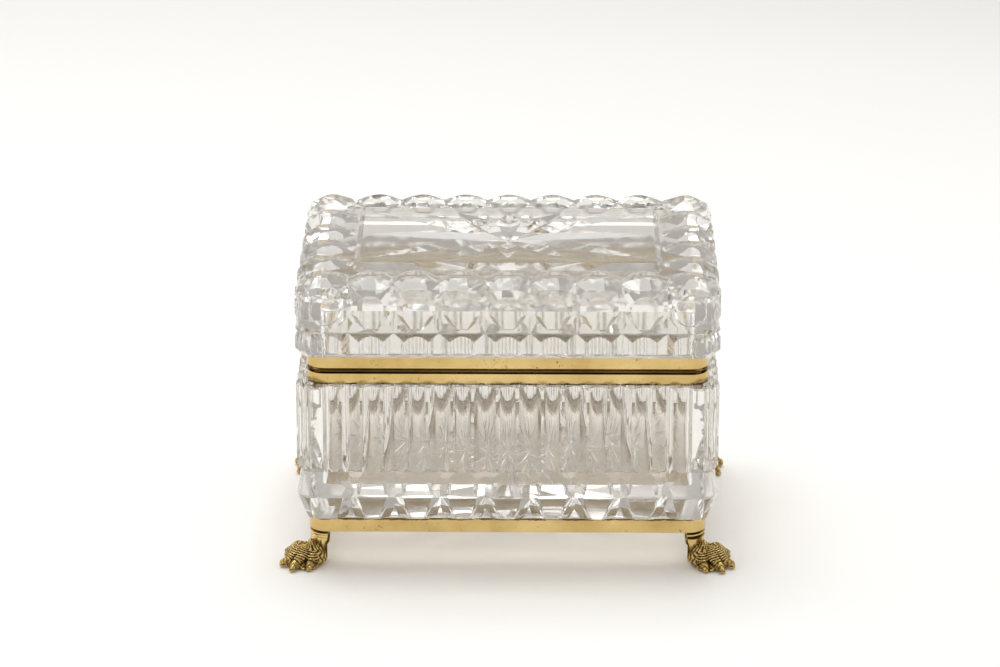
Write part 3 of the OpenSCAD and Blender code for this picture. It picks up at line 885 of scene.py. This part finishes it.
def cast(name):
    """Gilt cast brass: brighter where it stands out, brown in the hollows and between the toes, and darkest in the
    grooves under the band, which is painted shade.
    """
    m, nt, b = material(name)
    b.inputs["Metallic"].default_value = 1.0
    co = coords(nt)
    deep = node(nt, "ShaderNodeAttribute", attribute_name="hollow", attribute_type="GEOMETRY")
    grain = node(nt, "ShaderNodeTexNoise", Scale=420.0, Detail=4.0, Roughness=0.65)
    nt.links.new(co, grain.inputs["Vector"])
    both = node(nt, "ShaderNodeMath", operation="MULTIPLY_ADD")
    nt.links.new(grain.outputs["Fac"], both.inputs[0])
    both.inputs[1].default_value = 0.35
    nt.links.new(deep.outputs["Fac"], both.inputs[2])
    tone = ramp(nt, [(0.30, (0.70, 0.52, 0.22, 1)), (0.42, (0.57, 0.41, 0.15, 1)), (0.54, (0.38, 0.26, 0.085, 1)), (0.68, (0.21, 0.135, 0.04, 1)), (0.88, (0.085, 0.052, 0.014, 1))])
    nt.links.new(both.outputs["Value"], tone.inputs["Fac"])
    nt.links.new(tone.outputs["Color"], b.inputs["Base Color"])
    dull = ramp(nt, [(0.3, grey(0.22)), (0.8, grey(0.5))])
    nt.links.new(both.outputs["Value"], dull.inputs["Fac"])
    nt.links.new(dull.outputs["Color"], b.inputs["Roughness"])
    bump = node(nt, "ShaderNodeBump", Strength=0.35, Distance=0.0002)
    nt.links.new(grain.outputs["Fac"], bump.inputs["Height"])
    nt.links.new(bump.outputs["Normal"], b.inputs["Normal"])
    return m


def plaster(name):
    m, nt, b = material(name)
    co = coords(nt)
    n = node(nt, "ShaderNodeTexNoise", Scale=400.0, Detail=5.0, Roughness=0.7)
    nt.links.new(co, n.inputs["Vector"])
    c = ramp(nt, [(0.3, (0.52, 0.44, 0.32, 1)), (0.7, (0.80, 0.74, 0.62, 1))])
    nt.links.new(n.outputs["Fac"], c.inputs["Fac"])
    nt.links.new(c.outputs["Color"], b.inputs["Base Color"])
    b.inputs["Roughness"].default_value = 0.85
    return m


CRYSTAL = crystal("lid_crystal_glass", ((0.846, 0.832, 0.804, 1), (0.841, 0.832, 0.818, 1)), soft=(0.035, 0.065))
BODY_CRYSTAL = crystal("body_crystal_glass", ((0.875, 0.86, 0.83, 1), (0.87, 0.86, 0.845, 1)), ground=True)
GILT = brass("gilt_band_brass", (0.56, 0.39, 0.145, 1), (0.75, 0.56, 0.245, 1), edges=((0.0818, 0.0003), (0.0709, 0.0008), (0.0189, 0.0004)),
             paler_zones=((0.0692, 0.0467, -1.0, (0.76, 0.68, 0.55, 1), (0.83, 0.76, 0.66, 1)),))
# painted shade: the collar is dark where it shows in the groove between the lid band and the body band, standing in for
# the groove's shadow, with tarnish; its top and inner parts keep their gilt colour
DARK = brass("groove_shade_tarnish_brass", (0.06, 0.035, 0.010, 1), (0.16, 0.10, 0.03, 1), rough=(0.3, 0.5),
             paler_zones=((0.0696, 0.0471, 0.07586, (0.60, 0.43, 0.17, 1), (0.76, 0.58, 0.27, 1)),
                     (0.0690, 0.0465, -1.0, (0.60, 0.43, 0.17, 1), (0.76, 0.58, 0.27, 1))))
STEEL = brass("hinge_pin_steel", (0.50, 0.48, 0.45, 1), (0.62, 0.60, 0.57, 1), rough=(0.25, 0.4))
PAW = cast("paw_brass")
BED = plaster("bedding")

for name, ob in nodes.items():
    mat = BED if "bedding" in name else STEEL if name == "hinge_pin" else DARK if name == "rim_collar" else GILT
    ob.data.materials.clear()
    ob.data.materials.append(mat)

# ------------------------------------------------------------------ glass pieces
lid_me = build_lid()
body_me = build_body()
for me, name, cad, body_name in ((lid_me, "lid_crystal", "lid_glass", "lid"), (body_me, "body_crystal", "body_glass", "box")):
    me.name = name
    me.transform(Matrix.Scale(MM, 4))
    me.materials.clear()
    me.materials.append(CRYSTAL if body_name == "lid" else BODY_CRYSTAL)
    me.shade_smooth()
    me.set_sharp_from_angle(angle=math.radians(11.3))
    ob = bpy.data.objects.new(name, me)
    scene.collection.objects.link(ob)
    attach(ob, body_name)
    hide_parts(cad)
    bm = bmesh.new()
    bm.from_mesh(me)
    print(name, "verts", len(bm.verts), "faces", len(bm.faces), "open edges", sum(1 for e in bm.edges if len(e.link_faces) != 2), "volume cm3", round(bm.calc_volume() * 1e6, 2))
    bm.free()

# ------------------------------------------------------------------ feet in place
def spread(values, edges, times):
    """Each value averaged with its neighbours'."""
    for _ in range(times):
        total = values.copy()
        count = np.ones(len(values))
        for i, j in ((0, 1), (1, 0)):
            np.add.at(total, edges[:, i], values[edges[:, j]])
            np.add.at(count, edges[:, i], 1)
        values = total / (count[:, None] if values.ndim == 2 else count)
    return values


def mark_hollows(me):
    """Stores how deep each point lies below its surroundings, for darkening the hollows; the post is kept plain, and
    its grooves under the band are set fully dark as painted shade of the gap between band and post.
    """
    n = len(me.vertices)
    co, no, edges = np.empty(n * 3), np.empty(n * 3), np.empty(len(me.edges) * 2, dtype=np.int64)
    me.vertices.foreach_get("co", co)
    me.vertices.foreach_get("normal", no)
    me.edges.foreach_get("vertices", edges)
    co, no, edges = co.reshape(-1, 3), no.reshape(-1, 3), edges.reshape(-1, 2)
    deep = spread(((spread(co, edges, 3) - co) * no).sum(1), edges, 1)
    value = np.clip(0.46 + deep * 7.0, 0, 1)
    z = co[:, 2]
    bracket = (z > 9.9) & (co[:, 0] < 71.7)
    value[bracket] = 0.0
    out = np.minimum(71.6 - co[:, 0], 49.1 - co[:, 1])
    corner = 6.5 - np.hypot(np.maximum(co[:, 0] - 65.1, 0), np.maximum(co[:, 1] - 42.6, 0))
    out = np.where((co[:, 0] > 65.1) & (co[:, 1] > 42.6), corner, out)
    # painted shade: the grooves under the band, the shadowed gap between the band and the post, get the darkest tone
    value[bracket & (out > 0.5) & (z > 11.2) & (z < 13.97)] = 1.0
    me.attributes.new("hollow", "FLOAT", "POINT").data.foreach_set("value", value.astype(np.float32))


feet = {False: build_foot(False), True: build_foot(True)}
for me in feet.values():
    mark_hollows(me)
for cad, sx, sy in (("foot_front_left", -1, -1), ("foot_front_right", 1, -1), ("foot_rear_left", -1, 1), ("foot_rear_right", 1, 1)):
    me = feet[sx > 0].copy()
    me.name = cad.replace("foot_", "paw_")
    me.transform(Matrix.Diagonal((sx * MM, sy * MM, MM, 1.0)))
    if sx * sy < 0:
        me.flip_normals()
    me.materials.clear()
    me.materials.append(PAW)
    me.shade_smooth()
    me.set_sharp_from_angle(angle=math.radians(38))
    ob = bpy.data.objects.new(me.name, me)
    scene.collection.objects.link(ob)
    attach(ob, "box")
    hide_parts(cad)

# ------------------------------------------------------------------ stage and light
def floor():
    bm = bmesh.new()
    vs = [bm.verts.new(p) for p in ((-2.2, -2.0, 0), (2.2, -2.0, 0), (2.2, 2.6, 0), (-2.2, 2.6, 0))]
    bm.faces.new(vs)
    m, nt, b = material("paper_sweep")
    co = coords(nt)
    n = node(nt, "ShaderNodeTexNoise", Scale=3.0, Detail=2.0)
    nt.links.new(co, n.inputs["Vector"])
    # painted shade: the sweep's colour darkens behind the box, more to the right, standing in for the light falling off
    # away from the lamps
    axes = node(nt, "ShaderNodeSeparateXYZ")
    nt.links.new(co, axes.inputs["Vector"])
    far = node(nt, "ShaderNodeMath", operation="MULTIPLY_ADD")
    nt.links.new(axes.outputs["X"], far.inputs[0])
    far.inputs[1].default_value = 0.30
    nt.links.new(axes.outputs["Y"], far.inputs[2])
    soft = node(nt, "ShaderNodeMath", operation="MULTIPLY_ADD")
    nt.links.new(n.outputs["Fac"], soft.inputs[0])
    soft.inputs[1].default_value = 0.06
    nt.links.new(far.outputs["Value"], soft.inputs[2])
    c = ramp(nt, [(0.30, (0.87, 0.865, 0.85, 1)), (0.66, (0.80, 0.795, 0.785, 1)), (0.86, (0.72, 0.715, 0.705, 1))])
    nt.links.new(soft.outputs["Value"], c.inputs["Fac"])
    nt.links.new(c.outputs["Color"], b.inputs["Base Color"])
    b.inputs["Roughness"].default_value = 0.7
    b.inputs["Specular IOR Level"].default_value = 0.2
    ob = new_object("floor", bm, (m,))
    return ob


floor()


def lamp(name, size, power, place, aim, colour=(1, 1, 1)):
    d = bpy.data.lights.new(name, "AREA")
    d.shape = "RECTANGLE"
    d.size, d.size_y = size
    d.energy = power
    d.color = colour
    o = bpy.data.objects.new(name, d)
    scene.collection.objects.link(o)
    o.location = place
    o.rotation_mode = "QUATERNION"
    o.rotation_quaternion = (Vector(aim) - Vector(place)).to_track_quat("-Z", "Y")
    return o


# one large softbox above and behind the box, two weaker ones at the sides, and a room that is grey at eye level
lamp("overhead", (1.25, 1.0), 15.2, (-0.15, 0.40, 1.55), (0, 0.03, 0))
lamp("front_box", (1.0, 0.7), 3.4, (0.35, -1.75, 1.5), (0, 0, 0.05))
lamp("spark", (0.3, 0.3), 2.6, (-0.55, -1.6, 1.35), (0, 0, 0.06))
lamp("left_box", (0.5, 0.9), 2.6, (-1.5, 0.25, 0.55), (0, 0, 0.06), (0.93, 0.97, 1.0))
lamp("right_box", (0.5, 0.9), 2.0, (1.5, 0.1, 0.55), (0, 0, 0.06), (0.95, 0.98, 1.0))

world = bpy.data.worlds.new("room")
scene.world = world
world.use_nodes = True
wt = world.node_tree
split = wt.nodes.new("ShaderNodeSeparateXYZ")
wt.links.new(wt.nodes.new("ShaderNodeTexCoord").outputs["Generated"], split.inputs["Vector"])
room = ramp(wt, [(0.0, (0.45, 0.43, 0.40, 1)), (0.45, (0.49, 0.47, 0.445, 1)), (0.65, (0.64, 0.625, 0.60, 1)), (1.0, (0.76, 0.75, 0.73, 1))])
wt.links.new(split.outputs["Z"], room.inputs["Fac"])
wt.links.new(room.outputs["Color"], wt.nodes["Background"].inputs["Color"])
wt.nodes["Background"].inputs["Strength"].default_value = 1.0

scene.view_settings.view_transform = "Standard"
scene.view_settings.look = "None"
scene.view_settings.exposure = 0.0
scene.cycles.max_bounces = 24
scene.cycles.transmission_bounces = 24
scene.cycles.glossy_bounces = 12
scene.cycles.diffuse_bounces = 5
scene.cycles.blur_glossy = 0.0          # light that passes through the cut glass stays sharp on the floor
